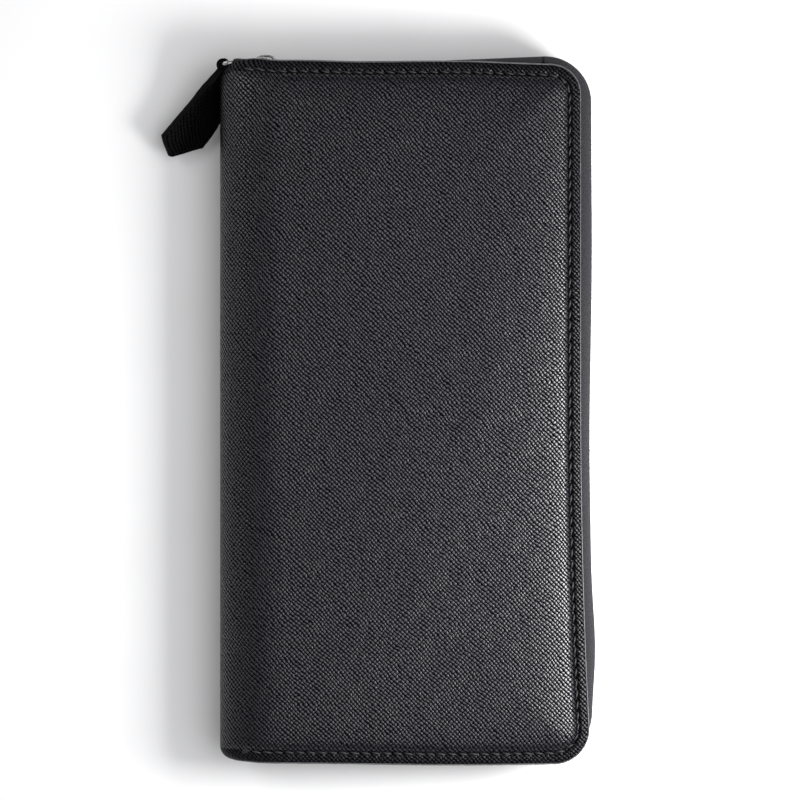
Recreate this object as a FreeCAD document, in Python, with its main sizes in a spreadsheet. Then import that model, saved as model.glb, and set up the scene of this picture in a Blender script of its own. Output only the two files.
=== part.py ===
import FreeCAD, Part
import math
import os
import re
import Sketcher
from FreeCAD import Placement, Rotation, Vector

# Zip-round long wallet, closed and lying on its back cover.
# X runs across the wallet from the spine to the long zipped edge, Y along the spine, Z through the thickness.
# "depth" always means the distance from the middle plane of the closed wallet towards a cover.

SIZES = [
    ("mid_z", 11, "height of the middle plane, which the two covers mirror each other in"),
    ("fold_x", -40.5, "where the covers end and the rounded spine begins"),
    ("fold_gap", 0.3, "gap between a cover and the spine leather"),
    ("panel_right", 49.5, "cover edge on the long zipped side"),
    ("panel_top", 95.9, "cover edge at the end where the zip closes"),
    ("panel_foot", -97.3, "cover edge at the end where the zip starts"),
    ("corner_round", 8.5, "radius of the cover corners"),
    ("half_thick", 11, "depth of a cover's padded middle, outside"),
    ("crown_in", 9.9, "depth of a cover's padded middle, inside the leather"),
    ("rim_out", 7.8, "depth of the stitched rim, outside"),
    ("rim_in", 6.7, "depth of the stitched rim, inside"),
    ("crown_inset", 4, "width of the flat stitched rim"),
    ("plateau_inset", 15, "distance from the edge at which the padding is full"),
    ("skin", 0.8, "allowance between the outside and the inside of the padded slope"),
    ("lining_in", 6.1, "depth of the lining's inner face"),
    ("lining_right", 43.1, "lining edge on the long zipped side"),
    ("lining_top", 87.5, "lining edge at the end where the zip closes"),
    ("lining_foot", -89.9, "lining edge at the end where the zip starts"),
    ("card_thick", 0.7, "thickness of one card pocket strip"),
    ("card_left", -36, "bottom seam of the card pockets"),
    ("card_first", 5, "mouth of the lowest card pocket"),
    ("card_step", 11, "step from one pocket mouth to the next"),
    ("card_half", 88, "half length of the card pocket strips"),
    ("spine_deep", 11, "how far the spine stands out from the fold lines"),
    ("spine_skin", 1.1, "thickness of the spine leather"),
    ("spine_lining", 0.6, "thickness of the spine lining"),
    ("spine_top", 94.1, "end of the spine beside the slider"),
    ("spine_foot", -96.8, "other end of the spine"),
    ("tape_start", -40.6, "where the zip tapes begin"),
    ("tape_right", 50.9, "middle of the zip tape along the long side"),
    ("tape_foot", -96.2, "middle of the zip tape along the foot"),
    ("zip_rise", 2.4, "angle between the zip line at the closing end and X, degrees"),
    ("tape_half", 0.3, "half the thickness of the zip tape"),
    ("tape_hem", 6, "width of tape sewn under the cover rim"),
    ("tape_bend", 12, "bend radius of the zip round a corner"),
    ("coil_half", 1.1, "half the thickness of the coil"),
    ("coil_low", 0.1, "depth at which a coil row starts"),
    ("coil_high", 1.3, "depth at which a coil row ends"),
    ("coil_start", -37, "first coil inside the slider"),
    ("slider_x", -38.7, "middle of the slider when the zip is closed"),
    ("slider_y", 94.1, "zip line at the slider when the zip is closed"),
    ("slider_long", 4.8, "half length of the slider"),
    ("slider_wide", 4, "half width of the slider"),
    ("slider_mouth", 2.4, "half width of the slider's rounded mouth end"),
    ("plate_out", 2.3, "outer face of a slider plate from the zip line"),
    ("plate_in", 1.4, "inner face of a slider plate from the zip line"),
    ("slot_half", 0.6, "half height of the slot the tape runs in"),
    ("flange_in", 3.1, "inner face of the slider's side flanges"),
    ("bridge_half", 3.2, "half length of the bridge that holds the pull"),
    ("bridge_wide", 1.1, "half width of the bridge"),
    ("bridge_top", 4.6, "top of the bridge from the zip line"),
    ("bridge_hole", 4, "top of the hole under the bridge"),
    ("pivot_rise", 3.35, "height of the pull's bar above the zip line"),
    ("main_scale", 1, "size of the main slider"),
    ("coin_scale", 0.78, "size of the coin pocket slider"),
    ("link_drop", 4.5, "angle at which the link rests, degrees"),
    ("link_long", 11.5, "distance between the link's two bars"),
    ("link_half", 0.6, "half the thickness of the link"),
    ("link_near", 3.1, "half width of the link at the slider"),
    ("link_far", 4, "half width of the link at the leather pull"),
    ("link_wall", 1, "width of the link's sides"),
    ("near_bar", 0.55, "radius of the bar under the bridge"),
    ("far_bar", 0.65, "radius of the bar in the leather pull"),
    ("loop_out", 1.6, "radius of the leather loop"),
    ("loop_in", 0.85, "radius of the hole in the leather loop"),
    ("loop_half", 2.4, "half width of the leather loop"),
    ("strap_thick", 2, "thickness of the leather pull, two layers"),
    ("strap_wide", 12, "width of the leather pull"),
    ("coin_in", 1.5, "half the space inside the coin pocket"),
    ("coin_out", 2.3, "depth of the coin pocket's outer face"),
    ("coin_left", -38, "bottom of the coin pocket"),
    ("coin_right", 33, "top of the coin pocket walls"),
    ("coin_half", 87, "half length of the coin pocket"),
    ("coin_seam", 3, "width of the coin pocket's seam"),
    ("coin_zip_x", 38.2, "middle of the coin zip"),
    ("coin_zip_half", 80, "half length of the coin zip"),
    ("coin_tape_half", 0.2, "half the thickness of the coin zip tape"),
    ("coin_tape_deep", 4.5, "depth at which the coin zip tape folds down"),
    ("coin_coil_half", 0.8, "half the thickness of the coin coil"),
    ("coin_coil_high", 0.9, "depth at which a coin coil row ends"),
    ("coin_slider_y", 66, "coin slider position when closed"),
    ("pull_long", 13, "length of the coin pull"),
    ("pull_half", 2.2, "half width of the coin pull"),
    ("gusset_left", -34, "gusset end beside the spine"),
    ("gusset_right", 25.5, "gusset end beside the long zipped side"),
    ("gusset_apex", 72, "inner fold of a gusset"),
    ("gusset_end", 91.3, "outer fold of a gusset"),
    ("gusset_cloth", 0.25, "thickness of the gusset cloth"),
]
NAMES = {name for name, value, meaning in SIZES}
SIDES = [("front", 1), ("back", -1)]
BEND_STEPS = 6
SPINE_STEPS = 12

doc = FreeCAD.newDocument("wallet")
sheet = doc.addObject("Spreadsheet::Sheet", "Sizes")
for row, (name, value, meaning) in enumerate(SIZES, start=1):
    sheet.set("A%d" % row, name)
    sheet.set("B%d" % row, str(value))
    sheet.set("C%d" % row, meaning)
    sheet.setAlias("B%d" % row, name)
doc.recompute()

nodes = []


def size(name):
    return float(sheet.get(name))


def sized(text):
    """Point every size named in a formula at the sheet."""
    return re.sub(r"[a-z_]+", lambda word: "Sizes." + word.group() if word.group() in NAMES else word.group(), text)


def new_node(label):
    body = doc.addObject("PartDesign::Body", label)
    body.Label = label
    nodes.append(body)
    return body


def feature(body, kind, name):
    return body.newObject(kind, body.Name + "_" + name)


def sketch_on(body, name, role, start):
    sketch = feature(body, "Sketcher::SketchObject", name)
    plane = [item for item in body.Origin.OriginFeatures if item.Role == role][0]
    sketch.AttachmentSupport = [(plane, "")]
    sketch.MapMode = "FlatFace"
    sketch.setExpression(".AttachmentOffset.Base.z", sized(start))
    return sketch


def pin_point(sketch, edge, point, near, formulas):
    """Fix one sketch point at two formulas measured from the origin."""
    for kind, value, formula in zip(("DistanceX", "DistanceY"), (near.x, near.y), formulas):
        index = sketch.addConstraint(Sketcher.Constraint(kind, -1, 1, edge, point, value))
        sketch.setExpression("Constraints[%d]" % index, sized(formula))


def add_outline(sketch, points):
    """A closed outline with straight sides whose corners are pairs of formulas."""
    count = len(points)
    turns = [0.3 + 2 * math.pi * index / count for index in range(count)]
    ring = [Vector(60 * math.cos(turn), 60 * math.sin(turn), 0) for turn in turns]
    for index in range(count):
        sketch.addGeometry(Part.LineSegment(ring[index], ring[(index + 1) % count]), False)
    for index in range(count):
        sketch.addConstraint(Sketcher.Constraint("Coincident", index, 2, (index + 1) % count, 1))
    for index, point in enumerate(points):
        pin_point(sketch, index, 1, ring[index], point)


def pad(body, name, role, points, start, length):
    sketch = sketch_on(body, name + "_outline", role, start)
    add_outline(sketch, points)
    block = feature(body, "PartDesign::Pad", name)
    block.Profile = sketch
    block.setExpression("Length", sized(length))
    return block


def disc(body, name, kind, centre, radius, start, length):
    """A round bar or a round hole along Z."""
    sketch = sketch_on(body, name + "_outline", "XY_Plane", start)
    sketch.addGeometry(Part.Circle(Vector(1, 1, 0), Vector(0, 0, 1), 2), False)
    pin_point(sketch, 0, 3, Vector(1, 1, 0), centre)
    index = sketch.addConstraint(Sketcher.Constraint("Radius", 0, 2))
    sketch.setExpression("Constraints[%d]" % index, sized(radius))
    bar = feature(body, kind, name)
    bar.Profile = sketch
    bar.setExpression("Length", sized(length))
    return bar


def loft(body, name, kind, sketches, ruled):
    shape = feature(body, kind, name)
    shape.Profile = sketches[0]
    shape.Sections = sketches[1:]
    shape.Ruled = ruled
    return shape


def round_edges(body, name, base, radius, chosen):
    """Round the edges of a feature that the test picks by their middle point and direction."""
    doc.recompute()
    picked = []
    for index, edge in enumerate(base.Shape.Edges, start=1):
        middle = edge.valueAt((edge.FirstParameter + edge.LastParameter) / 2)
        if chosen(middle, edge.Vertexes[-1].Point - edge.Vertexes[0].Point):
            picked.append("Edge%d" % index)
    rounded = feature(body, "PartDesign::Fillet", name)
    rounded.Base = (base, picked)
    rounded.setExpression("Radius", sized(radius))
    body.Tip = rounded
    return rounded


def rectangle(low_x, high_x, low_y, high_y):
    return [(low_x, low_y), (high_x, low_y), (high_x, high_y), (low_x, high_y)]


def inset_panel(inset):
    """The cover outline moved in from its three free sides."""
    return rectangle("fold_x", "panel_right - " + inset, "panel_foot + " + inset, "panel_top - " + inset)


def level(sign, depth):
    return "mid_z + (%s)" % depth if sign > 0 else "mid_z - (%s)" % depth


def layer_start(sign, inner, outer):
    return level(sign, inner if sign > 0 else outer)


def layer(body, name, sign, points, inner, outer):
    """A flat layer between two depths."""
    return pad(body, name, "XY_Plane", points, layer_start(sign, inner, outer), "%s - (%s)" % (outer, inner))


def corner(middle, direction):
    upright = abs(direction.z) > 0.99 * direction.Length
    return upright and middle.x > size("panel_right") - 2


def crown(body, name, kind, sign, base, top, low, high):
    """The padded rise of a cover, from the rim to the full middle."""
    sketches = []
    for part, points, depth in (("_base", base, low), ("_top", top, high)):
        sketch = sketch_on(body, name + part, "XY_Plane", level(sign, depth))
        add_outline(sketch, points)
        sketches.append(sketch)
    return loft(body, name, kind, sketches, True)


def zip_outline(offset, start):
    """The zip line round three sides of the wallet, offset to one side of it."""
    bend_x = "tape_right - tape_bend"
    top_y = "slider_y + (%s - slider_x) * tan(zip_rise * 1 deg)"
    centre_y = top_y % ("(" + bend_x + ")") + " - tape_bend / cos(zip_rise * 1 deg)"
    radius = "(tape_bend + (%s))" % offset
    points = [(start, top_y % start + " + (%s)" % offset)]
    for step in range(BEND_STEPS + 1):
        turn = "((90 + zip_rise) * %d / %d * 1 deg)" % (BEND_STEPS - step, BEND_STEPS)
        points.append(("%s + %s * cos%s" % (bend_x, radius, turn), "%s + %s * sin%s" % (centre_y, radius, turn)))
    for step in range(BEND_STEPS + 1):
        turn = "(%d / %d * 90 * 1 deg)" % (step, BEND_STEPS)
        points.append(("%s + %s * cos%s" % (bend_x, radius, turn),
                       "tape_foot + tape_bend - %s * sin%s" % (radius, turn)))
    points.append((start, "tape_foot - (%s)" % offset))
    return points


def zip_band(outer, inner, start):
    return zip_outline(outer, start) + zip_outline(inner, start)[::-1]


# The two covers: leather skin, padding, lining, stepped card pockets and their half of the zip.
for side, sign in SIDES:
    leather = new_node(side + "_leather")
    rim = layer(leather, "rim", sign, inset_panel("0"), "rim_in", "rim_out")
    round_edges(leather, "corners", rim, "corner_round", corner)
    crown(leather, "crown", "PartDesign::AdditiveLoft", sign,
          inset_panel("crown_inset"), inset_panel("plateau_inset"), "rim_out", "half_thick")
    hollow = crown(leather, "hollow", "PartDesign::SubtractiveLoft", sign,
                   inset_panel("(crown_inset + skin)"), inset_panel("plateau_inset"), "rim_in", "crown_in")
    leather.Tip = hollow

    padding = new_node(side + "_padding")
    crown(padding, "fill", "PartDesign::AdditiveLoft", sign,
          inset_panel("(crown_inset + skin)"), inset_panel("plateau_inset"), "rim_in", "crown_in")

    lining = new_node(side + "_lining")
    layer(lining, "sheet", sign, rectangle("fold_x", "lining_right", "lining_foot", "lining_top"), "lining_in", "rim_in")

    for index in range(4):
        strip = new_node("%s_card_strip_%d" % (side, index + 1))
        inner = "lining_in - %d * card_thick" % (4 - index)
        outer = "lining_in - %d * card_thick" % (3 - index)
        mouth = "card_first + %d * card_step" % index
        layer(strip, "sheet", sign, rectangle("card_left", mouth, "-card_half", "card_half"), inner, outer)

    tape = new_node(side + "_zip_tape")
    layer(tape, "band", sign, zip_band("tape_half", "-tape_half", "tape_start"), "coil_high + 0.1", "rim_in")
    layer(tape, "hem", sign, zip_band("0", "-tape_hem", "tape_start"), "lining_in", "rim_in")

    coil = new_node(side + "_zip_coil")
    layer(coil, "row", sign, zip_band("coil_half", "-coil_half", "coil_start"), "coil_low", "coil_high")

end_stop = new_node("zip_end_stop")
pad(end_stop, "block", "XY_Plane",
    rectangle("coil_start - 3.5", "coil_start - 0.5", "tape_foot - coil_half - 0.2", "tape_foot + coil_half + 0.2"),
    "mid_z - coil_high", "2 * coil_high")


# The spine: a rounded leather roll with its lining, tapering at both ends.
def spine_section(sketch, deep, half, skin_out, skin_in, left):
    """A C-shaped cut across the spine, from its front edge round to its back edge."""
    outer = []
    inner = []
    for step in range(SPINE_STEPS + 1):
        turn = "(%d * 180 / %d * 1 deg)" % (step, SPINE_STEPS)
        for points, skin in ((outer, skin_out), (inner, skin_in)):
            points.append(("%s - (%s - %s) * sin%s" % (left, deep, skin, turn),
                           "mid_z + (%s - %s) * cos%s" % (half, skin, turn)))
    add_outline(sketch, outer + inner[::-1])


SPINE_ENDS = [
    ("spine_foot", "spine_deep - 3.2", "rim_out"),
    ("spine_foot + 2.6", "spine_deep - 1", "rim_out + 0.9"),
    ("spine_foot + 10", "spine_deep", "half_thick"),
    ("spine_top - 10", "spine_deep", "half_thick"),
    ("spine_top - 2.6", "spine_deep - 1", "rim_out + 0.9"),
    ("spine_top", "spine_deep - 3.2", "rim_out"),
]
for label, skin_out, skin_in, ends in (
    ("spine_leather", "0", "spine_skin", SPINE_ENDS),
    ("spine_lining", "spine_skin", "(spine_skin + spine_lining)", SPINE_ENDS[2:4]),
):
    roll = new_node(label)
    sketches = []
    for index, (place, deep, half) in enumerate(ends):
        sketch = sketch_on(roll, "cut_%d" % index, "XZ_Plane", "-(%s)" % place)
        spine_section(sketch, deep, half, skin_out, skin_in, "fold_x - fold_gap")
        sketches.append(sketch)
    loft(roll, "roll", "PartDesign::AdditiveLoft", sketches, True)

# The middle divider: a coin pocket with its own short zip.
for side, sign in SIDES:
    wall = new_node("coin_wall_" + side)
    layer(wall, "sheet", sign, rectangle("coin_left", "coin_right", "-coin_half", "coin_half"), "coin_in", "coin_out")

    tape = new_node("coin_zip_tape_" + side)
    bent = [
        ("coin_zip_x - coin_tape_half", "coin_coil_high + 0.2"),
        ("coin_zip_x + coin_tape_half", "coin_coil_high + 0.2"),
        ("coin_zip_x + coin_tape_half", "coin_tape_deep"),
        ("coin_right", "coin_tape_deep"),
        ("coin_right - 3.3", "coin_out + 2 * coin_tape_half"),
        ("coin_right - 7", "coin_out + 2 * coin_tape_half"),
        ("coin_right - 7", "coin_out"),
        ("coin_right - 3", "coin_out"),
        ("coin_right + 0.3", "coin_tape_deep - 2 * coin_tape_half"),
        ("coin_zip_x - coin_tape_half", "coin_tape_deep - 2 * coin_tape_half"),
    ]
    outline = [(across, level(sign, depth)) for across, depth in bent]
    pad(tape, "strip", "XZ_Plane", outline, "-coin_zip_half", "2 * coin_zip_half")

    coil = new_node("coin_zip_coil_" + side)
    row = rectangle("coin_zip_x - coin_coil_half", "coin_zip_x + coin_coil_half",
                    "-coin_zip_half", "coin_slider_y - 1")
    layer(coil, "row", sign, row, "coil_low", "coin_coil_high")

seam = new_node("coin_pocket_seam")
seam_outline = [
    ("coin_right", "coin_half"),
    ("coin_left", "coin_half"),
    ("coin_left", "-coin_half"),
    ("coin_right", "-coin_half"),
    ("coin_right", "-coin_half + coin_seam"),
    ("coin_left + coin_seam", "-coin_half + coin_seam"),
    ("coin_left + coin_seam", "coin_half - coin_seam"),
    ("coin_right", "coin_half - coin_seam"),
]
pad(seam, "sheet", "XY_Plane", seam_outline, "mid_z - coin_in", "2 * coin_in")

# Pleated gussets at both ends join each cover to the divider.
for side, sign in SIDES:
    for end, way in (("top", 1), ("foot", -1)):
        gusset = new_node("gusset_%s_%s" % (side, end))
        pleat = [
            ("coin_half", "coin_out"),
            ("gusset_apex", "coin_out"),
            ("gusset_apex", "coin_out + 0.7"),
            ("gusset_end - gusset_cloth", "coin_out + 0.7"),
            ("gusset_end - gusset_cloth", "lining_in - 0.4"),
            ("gusset_end", "lining_in - 0.4"),
            ("gusset_end", "coin_out + 0.7 - gusset_cloth"),
            ("gusset_apex + gusset_cloth", "coin_out + 0.7 - gusset_cloth"),
            ("gusset_apex + gusset_cloth", "coin_out + gusset_cloth"),
            ("coin_half", "coin_out + gusset_cloth"),
        ]
        outline = [("%d * (%s)" % (way, along), level(sign, depth)) for along, depth in pleat]
        pad(gusset, "pleat", "YZ_Plane", outline, "gusset_left", "gusset_right - gusset_left")


# The sliders are drawn lying along X with the zip line through their middle, then put in place.
def slider(label, scale):
    body = new_node(label)

    def scaled(points):
        return [("(%s) * %s" % (across, scale), "(%s) * %s" % (up, scale)) for across, up in points]

    plate = [
        ("-slider_long", "-slider_mouth"),
        ("-slider_long + 1.8", "-slider_wide"),
        ("slider_long - 0.8", "-slider_wide"),
        ("slider_long", "-slider_wide + 0.8"),
        ("slider_long", "slider_wide - 0.8"),
        ("slider_long - 0.8", "slider_wide"),
        ("-slider_long + 1.8", "slider_wide"),
        ("-slider_long", "slider_mouth"),
    ]
    wedge = [
        ("-slider_long + 0.3", "-0.9"),
        ("-2.6", "-1.3"),
        ("-1.2", "0"),
        ("-2.6", "1.3"),
        ("-slider_long + 0.3", "0.9"),
    ]
    thick = "(plate_out - plate_in) * " + scale
    pad(body, "wedge", "XZ_Plane", scaled(wedge), "-plate_in * " + scale, "2 * plate_in * " + scale)
    pad(body, "outer_plate", "XZ_Plane", scaled(plate), "-plate_out * " + scale, thick)
    pad(body, "inner_plate", "XZ_Plane", scaled(plate), "plate_in * " + scale, thick)
    for row, low, high in (("low", "-slider_wide", "-flange_in"), ("high", "flange_in", "slider_wide")):
        flange = scaled(rectangle("-1.5", "slider_long - 1", low, high))
        depth = "(plate_in - slot_half) * " + scale
        pad(body, "outer_flange_" + row, "XZ_Plane", flange, "-plate_in * " + scale, depth)
        pad(body, "inner_flange_" + row, "XZ_Plane", flange, "slot_half * " + scale, depth)
    bridge = [
        ("-bridge_half", "plate_out"),
        ("-bridge_half + 0.5", "bridge_hole"),
        ("-bridge_half + 1.4", "bridge_top"),
        ("bridge_half - 1.4", "bridge_top"),
        ("bridge_half - 0.5", "bridge_hole"),
        ("bridge_half", "plate_out"),
        ("bridge_half - 0.8", "plate_out"),
        ("bridge_half - 1.1", "bridge_hole - 0.2"),
        ("bridge_half - 1.5", "bridge_hole"),
        ("-bridge_half + 1.5", "bridge_hole"),
        ("-bridge_half + 1.1", "bridge_hole - 0.2"),
        ("-bridge_half + 0.8", "plate_out"),
    ]
    pad(body, "bridge", "XY_Plane", scaled(bridge), "-bridge_wide * " + scale, "2 * bridge_wide * " + scale)
    return body


def place(body, across, along, up, turn):
    """Put a body drawn at the origin in its place: position formulas and a turn about Z in degrees."""
    body.setExpression(".Placement.Base.x", sized(across))
    body.setExpression(".Placement.Base.y", sized(along))
    body.setExpression(".Placement.Base.z", sized(up))
    body.Placement = Placement(body.Placement.Base, Rotation(Vector(0, 0, 1), 1))
    body.setExpression(".Placement.Rotation.Angle", sized(turn))


place(slider("slider", "main_scale"), "slider_x", "slider_y", "mid_z", "zip_rise * 1 deg")
place(slider("coin_slider", "coin_scale"), "coin_zip_x", "coin_slider_y", "mid_z", "-90 deg")

# The link lies from the slider's bridge to the leather pull. Its near bar turns under the bridge.
link = new_node("pull_link")
for row, way in (("low", -1), ("high", 1)):
    arm = [("0", "link_near"), ("0", "link_near - link_wall"),
           ("-link_long", "link_far - link_wall"), ("-link_long", "link_far")]
    arm = [(across, "%d * (%s)" % (way, up)) for across, up in arm]
    pad(link, "arm_" + row, "XZ_Plane", arm, "-link_half", "2 * link_half")
    if way < 0:
        disc(link, "near_bar", "PartDesign::Pad", ("0", "0"), "near_bar", "-link_near", "2 * link_near")
        disc(link, "far_bar", "PartDesign::Pad", ("-link_long", "0"), "far_bar", "-link_far", "2 * link_far")
PIVOT_X = "slider_x - pivot_rise * sin(zip_rise * 1 deg)"
PIVOT_Y = "slider_y + pivot_rise * cos(zip_rise * 1 deg)"
LINK_TURN = "(zip_rise + link_drop) * 1 deg"
place(link, PIVOT_X, PIVOT_Y, "mid_z", LINK_TURN)

coin_pull = new_node("coin_pull")
disc(coin_pull, "bar", "PartDesign::Pad", ("0", "0"), "near_bar * coin_scale", "-pull_half", "2 * pull_half")
tab = [
    ("0.3", "-pull_half"),
    ("0.3", "-pull_half + 0.8"),
    ("-3", "-pull_half + 0.8"),
    ("-3", "pull_half - 0.8"),
    ("0.3", "pull_half - 0.8"),
    ("0.3", "pull_half"),
    ("-pull_long + 1.5", "pull_half"),
    ("-pull_long", "pull_half - 1.2"),
    ("-pull_long", "-pull_half + 1.2"),
    ("-pull_long + 1.5", "-pull_half"),
]
pad(coin_pull, "tab", "XZ_Plane", tab, "-near_bar * coin_scale", "2 * near_bar * coin_scale")
place(coin_pull, "coin_zip_x + pivot_rise * coin_scale", "coin_slider_y", "mid_z", "-90 deg")

# The leather pull: a folded strap that loops round the link and twists down towards the table.
STRAP_CUTS = [
    # centre X, Y, Z, direction in the XY plane, twist (degrees), width as a share of the full width
    (-50.7, 95.0, 11.0, 242, 2, 0.40),
    (-51.6, 93.6, 10.9, 240, 5, 0.42),
    (-52.7, 91.6, 10.2, 236, 14, 0.62),
    (-53.0, 88.4, 7.6, 232, 36, 0.95),
    (-55.6, 83.2, 6.2, 230, 52, 1.0),
    (-59.0, 79.0, 5.0, 230, 58, 1.0),
    (-62.3, 75.0, 4.4, 230, 60, 1.0),
    (-65.2, 71.4, 3.9, 230, 60, 0.3),
]
strap = new_node("pull_leather")
cuts = []
for index, (across, along, up, heading, twist, share) in enumerate(STRAP_CUTS):
    cut = feature(strap, "Sketcher::SketchObject", "cut_%d" % index)
    cut.AttachmentSupport = [([item for item in strap.Origin.OriginFeatures if item.Role == "XY_Plane"][0], "")]
    cut.MapMode = "FlatFace"
    forward = Vector(math.cos(math.radians(heading)), math.sin(math.radians(heading)), 0)
    sideways = Vector(0, 0, 1).cross(forward)
    wide = sideways * math.sin(math.radians(twist)) - Vector(0, 0, 1) * math.cos(math.radians(twist))
    cut.AttachmentOffset = Placement(Vector(across, along, up), Rotation(wide, forward.cross(wide), forward))
    add_outline(cut, rectangle("-strap_wide / 2 * %s" % share, "strap_wide / 2 * %s" % share,
                               "-strap_thick / 2", "strap_thick / 2"))
    cuts.append(cut)
loft(strap, "strap", "PartDesign::AdditiveLoft", cuts, True)
BAR_X = PIVOT_X + " - link_long * cos((zip_rise + link_drop) * 1 deg)"
BAR_Y = PIVOT_Y + " - link_long * sin((zip_rise + link_drop) * 1 deg)"
disc(strap, "loop", "PartDesign::Pad", (BAR_X, BAR_Y), "loop_out", "mid_z - loop_half", "2 * loop_half")
doc.recompute()
hole = disc(strap, "hole", "PartDesign::Pocket", (BAR_X, BAR_Y), "loop_in", "mid_z + strap_wide", "2 * strap_wide")
strap.Tip = hole

doc.recompute()
for item in doc.Objects:
    if "Invalid" in item.State or "Error" in item.State:
        raise ValueError("%s did not compute: %s" % (item.Name, item.State))
os.makedirs("parts", exist_ok=True)
for node in nodes:
    if node.Shape.isNull() or not node.Shape.isValid() or len(node.Shape.Solids) != 1:
        raise ValueError("%s is not one valid solid" % node.Label)
    node.Shape.exportStep("parts/%s.step" % node.Label)
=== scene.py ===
import math
import bpy
import numpy as np
from mathutils import Matrix, Vector


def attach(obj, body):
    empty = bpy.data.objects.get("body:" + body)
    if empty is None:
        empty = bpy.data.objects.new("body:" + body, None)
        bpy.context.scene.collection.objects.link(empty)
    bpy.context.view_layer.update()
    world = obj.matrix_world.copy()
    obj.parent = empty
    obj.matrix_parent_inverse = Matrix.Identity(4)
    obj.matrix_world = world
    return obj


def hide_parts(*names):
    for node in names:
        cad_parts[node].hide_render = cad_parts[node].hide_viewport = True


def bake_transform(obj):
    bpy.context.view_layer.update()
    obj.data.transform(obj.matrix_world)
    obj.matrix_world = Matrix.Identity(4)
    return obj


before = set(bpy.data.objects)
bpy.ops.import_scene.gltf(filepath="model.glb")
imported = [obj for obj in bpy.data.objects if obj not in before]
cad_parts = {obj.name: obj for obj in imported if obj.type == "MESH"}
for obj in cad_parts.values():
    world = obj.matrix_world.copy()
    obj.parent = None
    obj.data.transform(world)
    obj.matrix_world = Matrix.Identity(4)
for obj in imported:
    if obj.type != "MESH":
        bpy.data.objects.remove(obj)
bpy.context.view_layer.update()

# Shapes are worked out in millimetres in the frame of the record and turned into metres as meshes are made.
MM = 0.001
MID = 11.0
RIM = 7.8
CROWN = 3.2
SKIN = 1.2
TOP = 95.9
FOOT = -97.3
ROUND_TOP = 8.0
ROUND_FOOT = 9.5
ROLL_X = -34.0
SPINE_X = -51.4
SPINE_ROUND = 3.6
STITCH_INSET = 2.8
STITCH_PITCH = 3.0
SEAM_PITCH = 2.7
SEAM_THREAD = 0.26
ZIP_TILT = math.radians(2.4)
ZIP_SIDE = 50.9
ZIP_FOOT = -96.2
ZIP_ROUND = 12.0
SLIDER_X = -38.7
SLIDER_Y = 94.1
BRIDGE = 3.35
LINK_LENGTH = 11.5
COIN_ZIP_X = 38.2
COIN_SCALE = 0.78
PULL_INSET = 1.5
COVERS = (("front", 1, "front_cover"), ("back", -1, "back_cover"))
# In metres: two places across the fold, handed to blend_to_divider, which does not use them.
FOLD = ((-0.036, 0, 0.011), (-0.045, 0, 0.011))


# ---------------------------------------------------------------- materials
class Shader:
    """A material with a short way to add nodes."""

    def __init__(self, name, rough=0.5, metal=0.0, specular=0.5):
        self.material = bpy.data.materials.new(name)
        self.material.use_nodes = True
        self.tree = self.material.node_tree
        self.base = self.tree.nodes["Principled BSDF"]
        self.base.inputs["Roughness"].default_value = rough
        self.base.inputs["Metallic"].default_value = metal
        self.base.inputs["Specular IOR Level"].default_value = specular

    def node(self, kind, **values):
        node = self.tree.nodes.new(kind)
        for key, value in values.items():
            setattr(node, key, value)
        return node

    def put(self, value, socket):
        if isinstance(value, bpy.types.NodeSocket):
            self.tree.links.new(value, socket)
        else:
            socket.default_value = value

    def math(self, operation, first, second=0.0):
        node = self.node("ShaderNodeMath", operation=operation)
        self.put(first, node.inputs[0])
        self.put(second, node.inputs[1])
        return node.outputs[0]

    def uv(self):
        return self.node("ShaderNodeUVMap", uv_map="mm").outputs["UV"]

    def place(self):
        return self.node("ShaderNodeTexCoord").outputs["Object"]

    def split(self, vector):
        node = self.node("ShaderNodeSeparateXYZ")
        self.put(vector, node.inputs[0])
        return node.outputs[0], node.outputs[1], node.outputs[2]

    def noise(self, vector, scale, detail=3.0, roughness=0.5):
        node = self.node("ShaderNodeTexNoise")
        self.put(vector, node.inputs["Vector"])
        node.inputs["Scale"].default_value = scale
        node.inputs["Detail"].default_value = detail
        node.inputs["Roughness"].default_value = roughness
        return node.outputs["Fac"]

    def scaled(self, value, low, high):
        node = self.node("ShaderNodeMapRange")
        self.put(value, node.inputs["Value"])
        node.inputs["To Min"].default_value = low
        node.inputs["To Max"].default_value = high
        return node.outputs["Result"]

    def ramp(self, value, *stops):
        node = self.node("ShaderNodeValToRGB")
        self.put(value, node.inputs["Fac"])
        while len(node.color_ramp.elements) < len(stops):
            node.color_ramp.elements.new(0.5)
        for element, (position, colour) in zip(node.color_ramp.elements, stops):
            element.position = position
            element.color = (*colour, 1)
        return node.outputs["Color"]

    def bump(self, height, distance, strength=1.0):
        node = self.node("ShaderNodeBump")
        node.inputs["Strength"].default_value = strength
        node.inputs["Distance"].default_value = distance
        self.put(height, node.inputs["Height"])
        self.put(node.outputs["Normal"], self.base.inputs["Normal"])

    def finish(self, colour, rough):
        self.put(colour, self.base.inputs["Base Color"])
        self.put(rough, self.base.inputs["Roughness"])
        return self.material


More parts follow.
